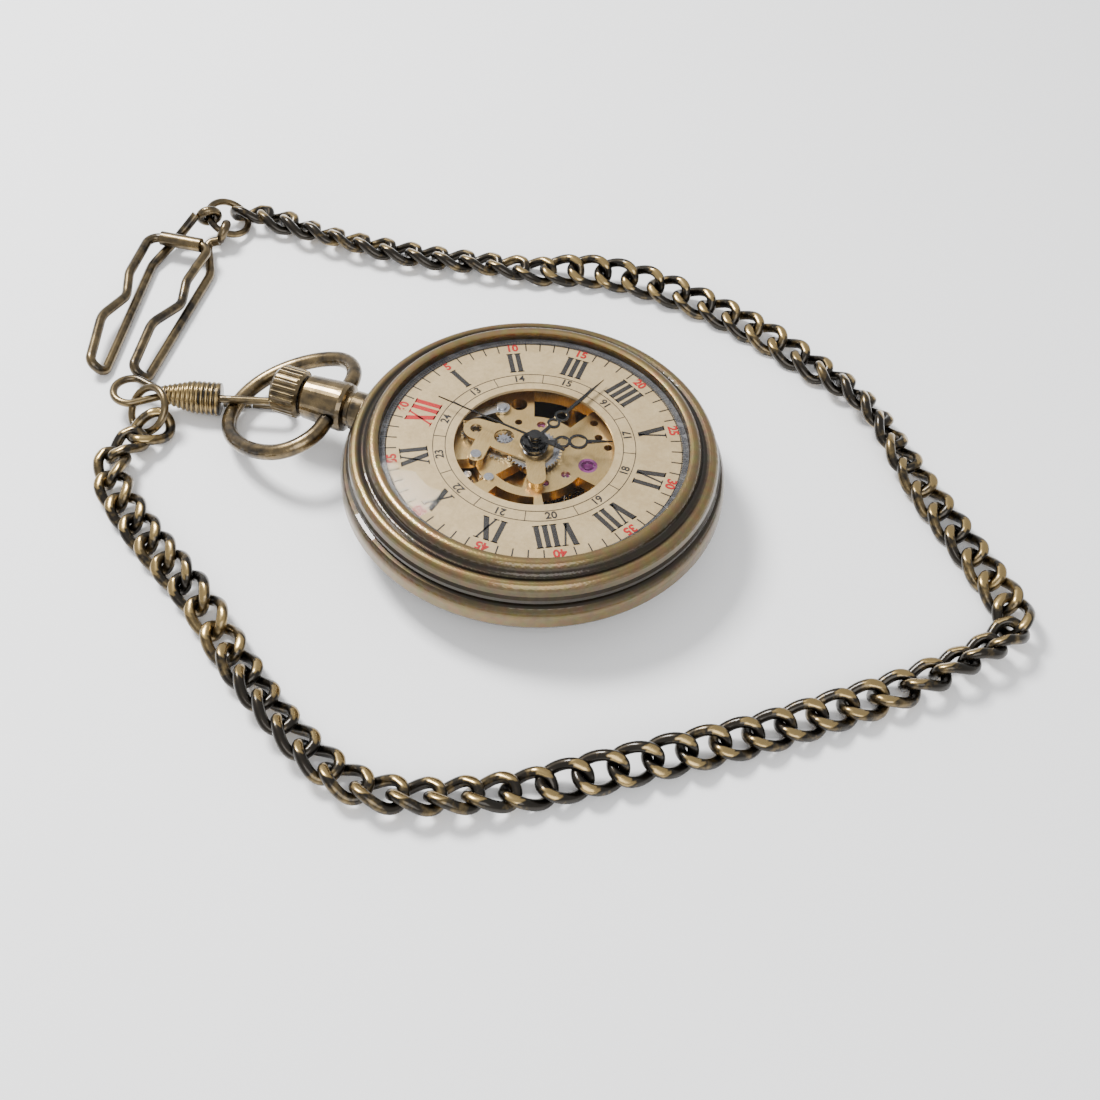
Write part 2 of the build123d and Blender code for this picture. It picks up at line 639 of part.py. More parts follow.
# ------------------------------------------------------------------- hands
HOUR_ANGLE = 157.0       # clockwise from twelve
MINUTE_ANGLE = 108.6
SECONDS_ANGLE = 9.0
HOUR_LENGTH, MINUTE_LENGTH, SECONDS_LENGTH = 9.3, 13.6, 13.3
SECONDS_TAIL = 4.0


def hand_outline(length, boss, bore, low, thick, angle, eyes, waist):
    """Pierced hand: boss, stem with open eyes at their distances, and a tapered point."""
    with BuildSketch(Plane.XY.offset(low)) as shape:
        Polygon((0, -waist), (length * 0.72, -waist), (length, 0), (length * 0.72, waist), (0, waist),
                align=None)
        for distance, radius in eyes:
            with Locations((distance, 0)):
                Circle(radius)
        for distance, radius in eyes:
            with Locations((distance, 0)):
                Circle(radius - 0.3, mode=Mode.SUBTRACT)
        Circle(boss)
        Circle(bore, mode=Mode.SUBTRACT)
    extrude(Rot(0, 0, 90 - angle) * shape.sketch, amount=thick)


with BuildPart() as hour_hand:
    hand_outline(HOUR_LENGTH, 1.75, 1.25, 10.5, 0.22, HOUR_ANGLE, ((3.3, 0.95), (5.2, 1.15)), 0.25)

with BuildPart() as minute_hand:
    hand_outline(MINUTE_LENGTH, 1.4, 0.55, 10.92, 0.22, MINUTE_ANGLE, ((3.6, 0.8), (5.2, 0.9)), 0.2)

with BuildPart() as seconds_hand:
    with BuildSketch(Plane.XY.offset(11.35)) as needle:
        Polygon((-SECONDS_TAIL, -0.16), (SECONDS_LENGTH, -0.05), (SECONDS_LENGTH, 0.05),
                (-SECONDS_TAIL, 0.16), align=None)
        Circle(0.6)
        Circle(PIVOT_R, mode=Mode.SUBTRACT)
    extrude(Rot(0, 0, 90 - SECONDS_ANGLE) * needle.sketch, amount=0.15)
    disc(0.75, 11.5, 12.0)
    disc(PIVOT_R, 11.5, 11.9, mode=Mode.SUBTRACT)

for name, built in (("hour_hand", hour_hand), ("minute_hand", minute_hand),
                    ("seconds_hand", seconds_hand)):
    save(built.part, name)

# --------------------------------------------------------------------- bow
bow_drop = math.asin((STEM_Z - BOW_END_Z) / BOW_LENGTH)
bow_plane = Plane(origin=(0, BOW_Y, STEM_Z), x_dir=(1, 0, 0), z_dir=(0, math.sin(bow_drop), math.cos(bow_drop)))
SHOULDER_R = 5.1                     # arc that turns each bow end outward
SIDE_TURN = 40.0                     # turn of the side arc, before the end arc
side_sin, side_cos = math.sin(math.radians(SIDE_TURN)), math.cos(math.radians(SIDE_TURN))
rise = BOW_LENGTH - SHOULDER_R
end_arc_r = (rise * (1 - side_cos) - BOW_HALF_WIDTH * side_sin) / ((1 - side_sin) * (1 - side_cos) - side_cos * side_sin)
side_arc_r = (rise - end_arc_r * (1 - side_sin)) / side_sin

with BuildPart() as bow:
    with BuildLine(bow_plane) as half:
        trunnion = Line((3.2, 0), (BOW_HALF_WIDTH - SHOULDER_R, 0))
        shoulder = JernArc(trunnion @ 1, trunnion % 1, SHOULDER_R, 90)
        side_arc = JernArc(shoulder @ 1, shoulder % 1, side_arc_r, SIDE_TURN)
        JernArc(side_arc @ 1, side_arc % 1, end_arc_r, 90 - SIDE_TURN)
    with BuildSketch(Plane(origin=half.line @ 0, z_dir=half.line % 0)):
        Circle(BOW_WIRE_R)
    sweep(path=half.line)
    with BuildSketch(Plane.YZ.offset(1.7)):
        with Locations((BOW_Y, STEM_Z)):
            Circle(0.75)
    extrude(amount=1.6)
    mirror(about=Plane.YZ)
save(bow.part, "bow")

# ------------------------------------------------------------------- clasp
# The hook is a wire loop round the bow's far end: one side passes over the
# bow's wire and the other side, the sprung gate, under it.
bow_end = Vector(0.3, BOW_Y + BOW_LENGTH * math.cos(bow_drop), BOW_END_Z)
along = Vector(0.31, -0.951, 0).normalized()         # from the eye to the hook's end
across = Vector(-along.Y, along.X, 0) * -1           # toward the left of that
HOOK_RISE, HOOK_SPREAD = 1.5, 1.15                   # half the loop's height and plan width
HOOK_END = 6.1
SLEEVE_SPREAD = 0.9                                  # each wire's offset where it leaves the sleeve
SLEEVE_NEAR, SLEEVE_FAR = -2.3, -10.1
EYE_REACH, EYE_R = 3.5, 2.25                         # eye's centre beyond the sleeve, and its radius


def clasp_point(s, t, z):
    """Point at s along the clasp, t to its side and height z."""
    spot = bow_end + along * s + across * t
    return (spot.X, spot.Y, z)


def wire_along(route, radius):
    """Sweep a round wire along a route in the active part."""
    with BuildSketch(Plane(origin=route @ 0, z_dir=route % 0)) as face:
        Circle(radius)
    sweep(face.sketch, path=route)


sleeve_start = Vector(*clasp_point(SLEEVE_NEAR, 0, 2.3))
sleeve_end = Vector(*clasp_point(SLEEVE_FAR, 0, 2.75))
sleeve_plane = Plane(origin=sleeve_start, z_dir=sleeve_end - sleeve_start)
sleeve_length = (sleeve_end - sleeve_start).length
with BuildPart() as clasp_sleeve:
    with BuildSketch(sleeve_plane):
        Circle(2.2)
    with BuildSketch(sleeve_plane.offset(3.6)):
        Circle(2.1)
    with BuildSketch(sleeve_plane.offset(sleeve_length)):
        Circle(1.0)
    loft(ruled=True)

hook_bend = math.hypot(HOOK_RISE, HOOK_SPREAD) - 0.01
with BuildPart() as clasp_hook:
    with BuildLine() as hook_line:
        FilletPolyline(clasp_point(SLEEVE_NEAR, SLEEVE_SPREAD, 3.25),
                       clasp_point(-0.8, HOOK_SPREAD, BOW_END_Z + HOOK_RISE),
                       clasp_point(HOOK_END, HOOK_SPREAD, BOW_END_Z + HOOK_RISE),
                       clasp_point(HOOK_END, -HOOK_SPREAD, BOW_END_Z - HOOK_RISE),
                       clasp_point(1.5, -HOOK_SPREAD, BOW_END_Z - HOOK_RISE),
                       radius=[2.0, hook_bend, hook_bend])
    wire_along(hook_line.line, HOOK_WIRE_R)
    add(clasp_sleeve.part, mode=Mode.SUBTRACT)

with BuildPart() as clasp_gate:
    with BuildLine() as gate_line:
        Line(clasp_point(SLEEVE_NEAR, -SLEEVE_SPREAD, 0.75), clasp_point(1.2, -HOOK_SPREAD, BOW_END_Z - HOOK_RISE))
    wire_along(gate_line.line, HOOK_WIRE_R)
    add(clasp_sleeve.part, mode=Mode.SUBTRACT)

with BuildPart() as clasp_eye:
    back_to_sleeve = (sleeve_start - sleeve_end).normalized()
    eye_plane = Plane(origin=sleeve_end - back_to_sleeve * EYE_REACH, x_dir=back_to_sleeve,
                      z_dir=back_to_sleeve.cross(across))
    with BuildLine(eye_plane) as eye_line:
        FilletPolyline((EYE_REACH, 0.6), (0.35, EYE_R), (-EYE_R, EYE_R), (-EYE_R, -EYE_R),
                       (0.35, -EYE_R), (EYE_REACH, -0.6), radius=[1.5, EYE_R - 0.05, EYE_R - 0.05, 1.5])
    wire_along(eye_line.line, HOOK_WIRE_R)
    add(clasp_sleeve.part, mode=Mode.SUBTRACT)

for name, built in (("clasp_hook", clasp_hook), ("clasp_gate", clasp_gate),
                    ("clasp_sleeve", clasp_sleeve), ("clasp_eye", clasp_eye)):
    save(built.part, name)

# ------------------------------------------------------------------- rings
clasp_ring_plane = Plane(origin=(-5.77, 49.86, 2.56), z_dir=(-0.602, 0.349, 0.718))
clip_ring_plane = Plane(origin=(33.1, 59.3, 2.45), z_dir=(0, -0.45, 0.89))

with BuildPart() as clasp_ring:
    with BuildSketch(Plane(origin=clasp_ring_plane.origin + clasp_ring_plane.x_dir * RING_R,
                           z_dir=clasp_ring_plane.y_dir)):
        Circle(RING_WIRE_R)
    revolve(axis=Axis(clasp_ring_plane.origin, clasp_ring_plane.z_dir))

with BuildPart() as clip_ring:
    with BuildSketch(Plane(origin=clip_ring_plane.origin + clip_ring_plane.x_dir * RING_R,
                           z_dir=clip_ring_plane.y_dir)):
        Circle(RING_WIRE_R)
    revolve(axis=Axis(clip_ring_plane.origin, clip_ring_plane.z_dir))
save(clasp_ring.part, "clasp_ring")
save(clip_ring.part, "clip_ring")

# ------------------------------------------------------------------- chain
# Route of the chain's centre line over the surface, from the clasp ring to
# the clip ring.
CHAIN_ROUTE = (
    (-6.45, 47.25), (-12.4, 50.7), (-17.4, 48.6), (-21.3, 43.7), (-25.9, 36.4), (-30.3, 28.7),
    (-36.0, 21.4), (-40.6, 14.6), (-44.6, 6.8), (-45.7, 0.4), (-42.6, -8.4), (-35.6, -19.8),
    (-28.2, -29.4), (-20.6, -38.9), (-11.9, -48.6), (-5.0, -55.4), (1.2, -59.6), (5.4, -57.6),
    (13.0, -51.0), (22.2, -42.6), (31.6, -35.4), (38.0, -23.8), (42.9, -10.4), (43.6, 4.6),
    (39.2, 18.8), (36.2, 33.4), (35.2, 47.6), (36.9, 55.4), (35.0, 58.75))


def corner_radii(points, most):
    """One radius per inner corner: 0.45 of the shorter run over tan(half the turn)."""
    radii = []
    for before, corner, after in zip(points, points[1:], points[2:]):
        run_in = Vector(corner) - Vector(before)
        run_out = Vector(after) - Vector(corner)
        half_turn = math.radians(run_in.get_angle(run_out)) / 2
        radii.append(min(most, 0.45 * min(run_in.length, run_out.length) / math.tan(half_turn)))
    return radii


route_radii = corner_radii(CHAIN_ROUTE, 400)
print("chain radii", [round(r, 1) for r in route_radii])
with BuildLine(Plane.XY.offset(CHAIN_Z)) as chain_line:
    FilletPolyline(*CHAIN_ROUTE, radius=route_radii)
chain_wire = chain_line.wire()
chain_length = chain_wire.length
link_count = int(chain_length / LINK_PITCH)
pitch = chain_length / link_count
print("chain", round(chain_length, 1), "mm,", link_count, "links, pitch", round(pitch, 3))

link_end_r = (LINK_WIDTH / 2) - LINK_WIRE_R
link_half = (pitch + 0.15 + 4 * LINK_WIRE_R - LINK_WIDTH) / 2
with BuildPart() as link:
    with BuildLine() as link_line:
        side = Line((-link_half, -link_end_r), (link_half, -link_end_r))
        near_end = JernArc(side @ 1, side % 1, link_end_r, 180)
        other_side = Line(near_end @ 1, (-link_half, link_end_r))
        JernArc(other_side @ 1, other_side % 1, link_end_r, 180)
    with BuildSketch(Plane(origin=side @ 0, z_dir=side % 0)):
        Circle(LINK_WIRE_R)
    sweep(path=link_line.line)


def chain_links(first, last):
    """Links first..last-1 along the route, each turned a quarter from the one before."""
    links = []
    for i in range(first, last):
        share = (i + 0.5) / link_count
        heading = chain_wire % share
        sideways = Vector(-heading.Y, heading.X, 0)
        lean = sideways * -1 if i % 2 else sideways
        spot = Plane(origin=chain_wire @ share, x_dir=heading, z_dir=lean + Vector(0, 0, 1))
        links.append(spot.location * link.part)
    return Compound(children=links)


LINKS_ON_BOW = 10
LINKS_TO_FLOOR = 26
for name, first, last in (("chain_near", 0, LINKS_ON_BOW), ("chain_side", LINKS_ON_BOW, LINKS_TO_FLOOR),
                          ("chain_main", LINKS_TO_FLOOR, link_count)):
    save(chain_links(first, last), name)

# -------------------------------------------------------------------- clip
# One bent wire with two legs and a rolled bar. `s` runs from the open ends
# to the ring, `t` across, both from the middle of the ends.
CLIP_ORIGIN = Vector(1.3, 57.4, 0)
CLIP_ALONG = Vector(0.985, 0.174, 0)
CLIP_ACROSS = Vector(-0.174, 0.985, 0)


def clip_point(s, t, z):
    """Point of the clip's own frame, in the watch's frame."""
    spot = CLIP_ORIGIN + CLIP_ALONG * s + CLIP_ACROSS * t
    return (spot.X, spot.Y, z)


def on_ring(plane, degrees, outward=0.0):
    """Point of a ring's centre line, or beyond it, at an angle in its plane."""
    spot = polar(RING_R + outward, degrees)
    return plane.from_local_coords((spot[0], spot[1], 0))


def toward_angle(plane, point):
    """Angle in a ring's plane that faces a point."""
    local = plane.to_local_coords(Vector(point))
    return math.degrees(math.atan2(local.Y, local.X))


CLIP_EYE_R = 1.2
CLIP_EYE_TURN = 32                                   # each eye's turn from the clip's direction, degrees
clip_side = toward_angle(clip_ring_plane, clip_point(24, 1, 2.4))


def leg(eye_turn, points, radii):
    """One leg of the clip's wire, with the eye that holds it on the ring."""
    eye_angle = clip_side + eye_turn
    eye_center = Vector(on_ring(clip_ring_plane, eye_angle))
    outward = (Vector(on_ring(clip_ring_plane, eye_angle, 1.0)) - eye_center).normalized()
    end = eye_center + outward * (CLIP_EYE_R + CLIP_WIRE_R + 0.02)
    with BuildPart() as wire:
        with BuildLine() as route:
            FilletPolyline((end.X, end.Y, end.Z), *[clip_point(*p) for p in points], radius=radii)
        wire_along(route.line, CLIP_WIRE_R)
    with BuildPart() as eye:
        with BuildSketch(Plane(origin=eye_center + outward * CLIP_EYE_R, z_dir=clip_ring_plane.z_dir)) as section:
            Circle(CLIP_WIRE_R)
        tangent = outward.cross(clip_ring_plane.z_dir)
        revolve(section.sketch, axis=Axis(eye_center, tangent))
    return Compound(children=[wire.part, eye.part])


BAR_START, BAR_END = (24.4, -3.4, 2.7), (24.9, 5.6, 2.7)
BAR_MIDDLE = (24.65, 1.1, 2.7)
LEG_BENDS = [0.8, 4, 0.95, 1.2, 5, 3, 4, 1.6]         # bend radii along each leg
left_leg = leg(-CLIP_EYE_TURN, ((26.6, 2.6, 1.3), (21.0, 4.3, 0.68), (-1.4, 2.7, 0.68), (-1.2, 4.4, 2.4),
                                (7.0, 5.8, 3.0), (12.5, 4.6, 2.05), (16.5, 5.6, 2.7), BAR_END, BAR_MIDDLE),
               LEG_BENDS)
right_leg = leg(CLIP_EYE_TURN, ((26.6, -2.0, 1.5), (21.0, -4.3, 0.68), (-1.4, -3.1, 0.68), (-1.2, -1.4, 2.4),
                                (7.0, -1.2, 3.0), (12.5, -3.2, 2.05), (16.5, -2.6, 2.7), BAR_START, BAR_MIDDLE),
                LEG_BENDS)
save(left_leg, "clip_wire_left")
save(right_leg, "clip_wire_right")

bar_low, bar_high = Vector(*clip_point(24.48, -2.0, 2.7)), Vector(*clip_point(24.80, 3.9, 2.7))
with BuildPart() as clip_bar:
    with BuildSketch(Plane(origin=bar_low, z_dir=bar_high - bar_low)):
        Circle(1.0)
        Circle(CLIP_WIRE_R + 0.02, mode=Mode.SUBTRACT)
    extrude(amount=(bar_high - bar_low).length)
save(clip_bar.part, "clip_bar")
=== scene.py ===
import bpy, math, json
from mathutils import Matrix, Vector


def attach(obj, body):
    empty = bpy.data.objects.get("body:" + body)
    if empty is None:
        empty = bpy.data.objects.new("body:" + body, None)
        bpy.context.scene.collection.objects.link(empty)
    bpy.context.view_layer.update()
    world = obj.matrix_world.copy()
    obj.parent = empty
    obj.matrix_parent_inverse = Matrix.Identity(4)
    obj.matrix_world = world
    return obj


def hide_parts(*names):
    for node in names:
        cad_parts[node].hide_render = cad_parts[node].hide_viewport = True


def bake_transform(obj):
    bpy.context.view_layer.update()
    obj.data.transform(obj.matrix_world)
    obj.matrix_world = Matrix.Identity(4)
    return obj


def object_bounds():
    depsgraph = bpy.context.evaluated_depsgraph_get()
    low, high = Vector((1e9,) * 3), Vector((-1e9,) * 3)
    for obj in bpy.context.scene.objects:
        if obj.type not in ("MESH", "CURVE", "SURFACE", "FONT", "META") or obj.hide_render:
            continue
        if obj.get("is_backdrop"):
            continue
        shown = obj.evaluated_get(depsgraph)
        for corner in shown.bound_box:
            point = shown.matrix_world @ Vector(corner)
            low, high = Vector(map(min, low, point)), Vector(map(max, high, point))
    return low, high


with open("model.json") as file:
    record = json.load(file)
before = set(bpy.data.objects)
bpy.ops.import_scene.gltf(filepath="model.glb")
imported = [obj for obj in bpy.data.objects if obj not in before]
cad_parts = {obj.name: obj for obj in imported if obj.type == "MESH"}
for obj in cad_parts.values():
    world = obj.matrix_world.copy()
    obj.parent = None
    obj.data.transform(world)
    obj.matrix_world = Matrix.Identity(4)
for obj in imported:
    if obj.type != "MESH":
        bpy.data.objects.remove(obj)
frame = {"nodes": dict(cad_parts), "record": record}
start_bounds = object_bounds()
nodes = frame["nodes"]
slot_of = {s["node"]: s["material_slot"] for s in frame["record"]["subparts"]}
MM = 0.001


# ---------------------------------------------------------------- materials
def material(name, dark, bright, rough=(0.3, 0.5), metal=1.0, scale=900, stretch=(1, 1, 1), bump=0.05,
             wear=None, coat=0.0):
    """Procedural surface: two tones mixed by fine and broad noise, with matching roughness and relief."""
    m = bpy.data.materials.new(name)
    m.use_nodes = True
    t = m.node_tree
    p = t.nodes["Principled BSDF"]
    coord = t.nodes.new("ShaderNodeTexCoord")
    place = t.nodes.new("ShaderNodeMapping")
    place.inputs["Scale"].default_value = stretch
    t.links.new(coord.outputs["Object"], place.inputs["Vector"])
    fine = t.nodes.new("ShaderNodeTexNoise")
    fine.inputs["Scale"].default_value = scale
    fine.inputs["Detail"].default_value = 6
    t.links.new(place.outputs["Vector"], fine.inputs["Vector"])
    broad = t.nodes.new("ShaderNodeTexNoise")
    broad.inputs["Scale"].default_value = scale / 6
    t.links.new(coord.outputs["Object"], broad.inputs["Vector"])
    both = t.nodes.new("ShaderNodeMath")
    both.operation = "MULTIPLY_ADD"
    both.inputs[1].default_value = 0.5
    t.links.new(fine.outputs["Fac"], both.inputs[0])
    half = t.nodes.new("ShaderNodeMath")
    half.operation = "MULTIPLY"
    half.inputs[1].default_value = 0.5
    t.links.new(broad.outputs["Fac"], half.inputs[0])
    t.links.new(half.outputs[0], both.inputs[2])
    value = both.outputs[0]
    if wear == "attribute":
        a = t.nodes.new("ShaderNodeAttribute")
        a.attribute_name = "wear"
        add = t.nodes.new("ShaderNodeMath")
        add.operation = "MULTIPLY_ADD"
        add.inputs[1].default_value = 0.45
        t.links.new(a.outputs["Fac"], add.inputs[0])
        less = t.nodes.new("ShaderNodeMath")
        less.operation = "SUBTRACT"
        less.inputs[1].default_value = 0.12
        t.links.new(value, less.inputs[0])
        t.links.new(less.outputs[0], add.inputs[2])
        value = add.outputs[0]
    ramp = t.nodes.new("ShaderNodeValToRGB")
    ramp.color_ramp.elements[0].position = 0.38
    ramp.color_ramp.elements[0].color = (*dark, 1)
    ramp.color_ramp.elements[1].position = 0.66
    ramp.color_ramp.elements[1].color = (*bright, 1)
    t.links.new(value, ramp.inputs["Fac"])
    t.links.new(ramp.outputs["Color"], p.inputs["Base Color"])
    spread = t.nodes.new("ShaderNodeMapRange")
    spread.inputs["To Min"].default_value = rough[1]
    spread.inputs["To Max"].default_value = rough[0]
    t.links.new(value, spread.inputs["Value"])
    t.links.new(spread.outputs["Result"], p.inputs["Roughness"])
    relief = t.nodes.new("ShaderNodeBump")
    relief.inputs["Strength"].default_value = bump
    relief.inputs["Distance"].default_value = 0.0001
    t.links.new(fine.outputs["Fac"], relief.inputs["Height"])
    t.links.new(relief.outputs["Normal"], p.inputs["Normal"])
    p.inputs["Metallic"].default_value = metal
    p.inputs["Coat Weight"].default_value = coat
    return m


def turned(name, stops, rough=0.32):
    """A lathe-turned face: colour stops set by distance from the watch's axis paint highlight, dark-reflection and
    shade rings into the colour, with fine noise multiplied over them.
    """
    m = material(name, (0.1, 0.07, 0.04), (0.5, 0.36, 0.18), (rough - 0.08, rough + 0.12), bump=0.08, coat=0.5)
    t = m.node_tree
    p = t.nodes["Principled BSDF"]
    coord = t.nodes.new("ShaderNodeTexCoord")
    flat = t.nodes.new("ShaderNodeVectorMath")
    flat.operation = "MULTIPLY"
    flat.inputs[1].default_value = (1, 1, 0)
    t.links.new(coord.outputs["Object"], flat.inputs[0])
    size = t.nodes.new("ShaderNodeVectorMath")
    size.operation = "LENGTH"
    t.links.new(flat.outputs[0], size.inputs[0])
    span = t.nodes.new("ShaderNodeMapRange")
    span.inputs["From Min"].default_value = 0.018
    span.inputs["From Max"].default_value = 0.0235
    t.links.new(size.outputs["Value"], span.inputs["Value"])
    # These stops are painted light: highlight, dark-reflection and shade rings laid into the colour by radius.
    ramp = t.nodes.new("ShaderNodeValToRGB")
    ramp.color_ramp.elements[0].position = 0.0
    ramp.color_ramp.elements[0].color = (*stops[0][1], 1)
    ramp.color_ramp.elements[1].position = 1.0
    ramp.color_ramp.elements[1].color = (*stops[-1][1], 1)
    for r, color in stops[1:-1]:
        e = ramp.color_ramp.elements.new((r - 18.0) / 5.5)
        e.color = (*color, 1)
    t.links.new(span.outputs["Result"], ramp.inputs["Fac"])
    fine = [n for n in t.nodes if n.type == "TEX_NOISE"][0]
    mix = t.nodes.new("ShaderNodeMix")
    mix.data_type = "RGBA"
    mix.blend_type = "MULTIPLY"
    mix.inputs["Factor"].default_value = 0.55
    t.links.new(ramp.outputs["Color"], mix.inputs["A"])
    t.links.new(fine.outputs["Color"], mix.inputs["B"])
    t.links.new(mix.outputs["Result"], p.inputs["Base Color"])
    return m


# The third colour here is painted dark: the bezel's painted dark reflection ring and the painted shade at the case
# seam.
GOLD, BRONZE, PAINTED_DARK = (0.30, 0.205, 0.085), (0.13, 0.092, 0.045), (0.045, 0.034, 0.022)
MATS = {
    # Bezel by radius: the dark ring at 19.9-20.7 mm is a painted dark reflection and the gold ring at 21.2-21.6 mm is
    # a painted highlight; the other stops are the metal's own gold and bronze tones.
    "bezel": turned("bezel_painted_reflections", ((18, GOLD), (19.2, GOLD), (19.9, PAINTED_DARK), (20.7, PAINTED_DARK), (21.2, GOLD), (21.6, GOLD),
                                    (22.0, BRONZE), (23.5, BRONZE))),
    # Case band and back by radius: the dark ring at 22.4 mm is painted shade in the seam between bezel and case back;
    # the bronze and gold stops are the metal's own tones.
    "band": turned("band_painted_seam_shade", ((18, BRONZE), (22.4, PAINTED_DARK), (22.9, BRONZE), (23.2, GOLD), (23.5, GOLD)), 0.38),
    "antique_brass": material("antique_brass", (0.035, 0.027, 0.018), (0.30, 0.21, 0.095), (0.18, 0.38), scale=700, coat=0.5),
    "dark_bronze": material("dark_bronze", (0.022, 0.018, 0.013), (0.36, 0.25, 0.10), (0.22, 0.42), scale=800, wear="attribute", coat=0.4),
    "plain_bronze": material("plain_bronze", (0.030, 0.024, 0.017), (0.21, 0.15, 0.07), (0.2, 0.4), scale=800, coat=0.4),
    "gilt_brass": material("gilt_brass", (0.62, 0.42, 0.17), (0.90, 0.66, 0.32), (0.25, 0.4), scale=1500, stretch=(1, 9, 1)),
    "steel": material("steel", (0.42, 0.42, 0.44), (0.75, 0.75, 0.77), (0.16, 0.32), scale=1800, stretch=(9, 1, 1)),
    "spring_steel": material("spring_steel", (0.05, 0.07, 0.16), (0.16, 0.19, 0.32), (0.2, 0.35)),
    "dial_enamel": material("dial_enamel", (0.52, 0.38, 0.19), (0.66, 0.50, 0.27), (0.34, 0.46), metal=0.25, scale=2500, bump=0.02),
    "black_hands": material("black_hands", (0.004, 0.004, 0.004), (0.02, 0.019, 0.018), (0.12, 0.3), metal=0.3, coat=0.6),
    "gasket_rubber": material("gasket_rubber", (0.10, 0.10, 0.11), (0.2, 0.2, 0.2), (0.5, 0.7), metal=0.0),
    "ruby": material("ruby", (0.14, 0.025, 0.11), (0.27, 0.06, 0.21), (0.05, 0.15), metal=0.0, coat=1.0),
    "crystal_glass": material("crystal_glass", (0.01, 0.01, 0.01), (0.02, 0.02, 0.02), (0.02, 0.04), metal=0.0, bump=0.0),
    "print_black": material("print_black", (0.012, 0.010, 0.009), (0.035, 0.03, 0.026), (0.35, 0.5), metal=0.0),
    "print_red": material("print_red", (0.42, 0.006, 0.006), (0.52, 0.012, 0.01), (0.35, 0.5), metal=0.0),
    "floor": material("floor", (0.93, 0.93, 0.93), (0.95, 0.95, 0.95), (0.5, 0.7), metal=0.0, scale=40, bump=0.0),
}
MATS["crystal_glass"].node_tree.nodes["Principled BSDF"].inputs["Alpha"].default_value = 0.07
for name, obj in nodes.items():
    key = slot_of[name]
    if name == "bezel":
        key = "bezel"
    elif name in ("case_band", "case_back"):
        key = "band"
    elif key == "dark_bronze":
        key = "plain_bronze"
    obj.data.materials.clear()
    obj.data.materials.append(MATS[key])
    for poly in obj.data.polygons:
        poly.use_smooth = False


# ---------------------------------------------------------------- mesh helpers
def mesh_object(name, verts, faces, mat, smooth=True, wear=None):
    data = bpy.data.meshes.new(name)
    data.from_pydata([tuple(v) for v in verts], [], faces)
    data.materials.append(MATS[mat])
    for poly in data.polygons:
        poly.use_smooth = smooth
    if wear is not None:
        layer = data.attributes.new("wear", "FLOAT", "POINT")
        layer.data.foreach_set("value", wear)
    data.update()
    obj = bpy.data.objects.new(name, data)
    bpy.context.scene.collection.objects.link(obj)
    return obj


def clock(degrees, r, side=0.0):
    """Point on the dial at an angle clockwise from twelve, moved sideways along the circle."""
    a = math.radians(degrees)
    return (r * math.sin(a) + side * math.cos(a), r * math.cos(a) - side * math.sin(a))


class Print:
    """Flat printed shapes on the dial, gathered into one thin mesh."""

    def __init__(self, z):
        self.verts, self.faces, self.z = [], [], z

    def shape(self, points):
        n = len(self.verts)
        for x, y in points:
            self.verts.append((x * MM, y * MM, self.z * MM))
        for x, y in points:
            self.verts.append((x * MM, y * MM, (self.z + 0.03) * MM))
        k = len(points)
        self.faces.append([n + k + i for i in range(k)])
        for i in range(k):
            j = (i + 1) % k
            self.faces.append([n + i, n + j, n + k + j, n + k + i])

    def glyph(self, degrees, r0, x0, points):
        """Points given as (sideways, outward) in the glyph's own frame."""
        self.shape([clock(degrees, r0 + y, x0 + x) for x, y in points][::-1])

    def ring(self, r0, r1, steps=240):
        for i in range(steps):
            a, b = 360 * i / steps, 360 * (i + 1) / steps
            self.shape([clock(a, r0), clock(b, r0), clock(b, r1), clock(a, r1)])

    def tick(self, degrees, r0, r1, half):
        self.glyph(degrees, r0, 0, [(-half, 0), (half, 0), (half, r1 - r0), (-half, r1 - r0)])


def bar(out, a, r0, x0, p, q, half):
    out.glyph(a, r0, x0, [(p[0] - half, p[1]), (p[0] + half, p[1]), (q[0] + half, q[1]), (q[0] - half, q[1])])


def roman(out, text, degrees):
    """A serifed Roman numeral standing on the inner circle with its feet toward the centre."""
    r0, h = 12.6, 3.35
    widths = {"I": 0.98, "V": 2.1, "X": 2.15}
    total = sum(widths[c] for c in text)
    x = -total / 2
    for c in text:
        w = widths[c]
        mid = x + w / 2
        if c == "I":
            bar(out, degrees, r0, mid, (0, 0), (0, h), 0.30)
            for y in (0, h - 0.14):
                bar(out, degrees, r0, mid, (0, y), (0, y + 0.14), 0.42)
        elif c == "V":
            bar(out, degrees, r0, mid, (0.05, 0), (-0.62, h), 0.34)
            bar(out, degrees, r0, mid, (0.05, 0), (0.66, h), 0.12)
            for s in (-0.62, 0.66):
                bar(out, degrees, r0, mid, (s, h - 0.14), (s, h), 0.36)
        else:
            bar(out, degrees, r0, mid, (0.62, 0), (-0.62, h), 0.34)
            bar(out, degrees, r0, mid, (-0.62, 0), (0.62, h), 0.12)
            for s in (-0.62, 0.62):
                for y in (0, h - 0.14):
                    bar(out, degrees, r0, mid, (s, y), (s, y + 0.14), 0.34)
        x += w


